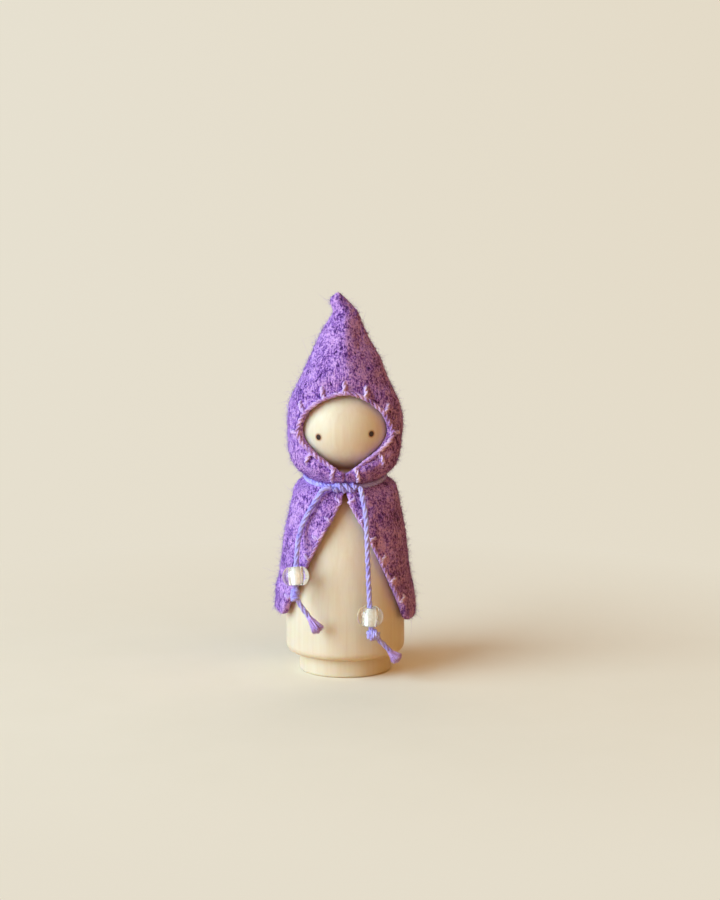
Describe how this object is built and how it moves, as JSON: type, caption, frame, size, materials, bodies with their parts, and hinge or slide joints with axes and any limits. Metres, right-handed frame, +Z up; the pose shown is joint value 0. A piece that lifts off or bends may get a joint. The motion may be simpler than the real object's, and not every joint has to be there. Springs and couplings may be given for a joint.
{
  "type": "peg doll",
  "caption": "Turned wooden peg doll with dot eyes, in a pointed hooded felt cape with blanket-stitched edges, tied at the neck with a thin cord that ends in glass beads.",
  "frame": {"origin": "centre of the foot's flat underside", "axes": "+Z up along the peg's axis to the hood's point, -Y out of the face, +X to the doll's left as seen from the front on the right"},
  "size_m": [0.0254, 0.028, 0.0694],
  "materials": {
    "wood": "satin",
    "eye": "matte",
    "felt": "matte",
    "thread": "matte",
    "cord": "satin",
    "glass": "gloss"
  },
  "bodies": {
    "peg": {"peg_body": "wood", "eye_left": "eye", "eye_right": "eye"},
    "cape": {"hooded_cape": "felt", "edge_stitching": "thread", "back_seam_stitching": "thread", "neck_cord": "cord", "front_knot": "cord"},
    "left_tail": {"tail_left": "cord", "stopper_knot_left": "cord", "frayed_end_left": "cord"},
    "right_tail": {"tail_right": "cord", "stopper_knot_right": "cord", "frayed_end_right": "cord"},
    "left_bead": {"bead_left": "glass"},
    "right_bead": {"bead_right": "glass"}
  },
  "joints": [
    {"name": "cape_turn", "type": "hinge", "parent": "peg", "child": "cape", "pos_m": [0, 0, 0.0359], "axis": [0, 0, 1], "continuous": true},
    {"name": "tail_left_lift", "type": "hinge", "parent": "cape", "child": "left_tail", "pos_m": [-0.0025, -0.0084, 0.035], "axis": [-1, 0, 0], "range_deg": [0, 90]},
    {"name": "tail_right_lift", "type": "hinge", "parent": "cape", "child": "right_tail", "pos_m": [0.0025, -0.0084, 0.035], "axis": [-1, 0, 0], "range_deg": [0, 90]},
    {"name": "bead_left_slide", "type": "slide", "parent": "left_tail", "child": "left_bead", "axis": [0.0476, 0.1427, 0.9886], "range_m": [0, 0.0025]},
    {"name": "bead_right_slide", "type": "slide", "parent": "right_tail", "child": "right_bead", "axis": [-0.0399, 0.0797, 0.996], "range_m": [0, 0.0095]}
  ]
}
